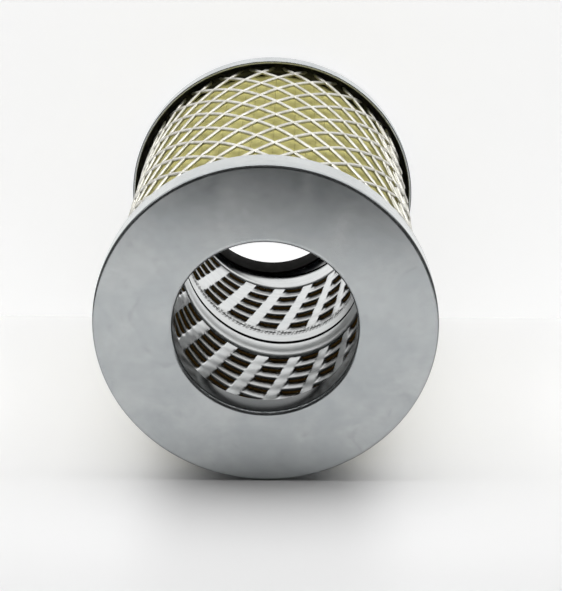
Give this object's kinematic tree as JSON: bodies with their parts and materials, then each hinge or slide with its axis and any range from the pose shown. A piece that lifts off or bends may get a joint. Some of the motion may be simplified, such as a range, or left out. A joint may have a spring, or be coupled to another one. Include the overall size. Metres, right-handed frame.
{
  "type": "pleated filter element",
  "caption": "Cylindrical pleated paper filter element with pressed steel end caps, an expanded metal outer wrap and a spiral louvred centre tube round an open bore.",
  "frame": {"origin": "centre of the rear cap's outer face, on which the element stands", "axes": "+Z along the bore axis, from the rear cap with the rubber seal to the front cap"},
  "size_m": [0.09, 0.09, 0.107],
  "materials": {
    "plated_cap": "zinc plated sheet, satin with soft mottling",
    "wrap_steel": "bright expanded sheet",
    "tube_steel": "galvanised strip",
    "filter_paper": "resin-treated yellow paper, matt",
    "seal_rubber": "black, matt",
    "adhesive": "black poured compound"
  },
  "bodies": {
    "root": {"front_end_cap": "plated_cap", "rear_end_cap": "plated_cap", "outer_wrap": "wrap_steel", "centre_tube": "tube_steel", "pleat_pack": "filter_paper", "bore_seal": "seal_rubber", "front_adhesive_bed": "adhesive", "rear_adhesive_bed": "adhesive"}
  },
  "joints": []
}
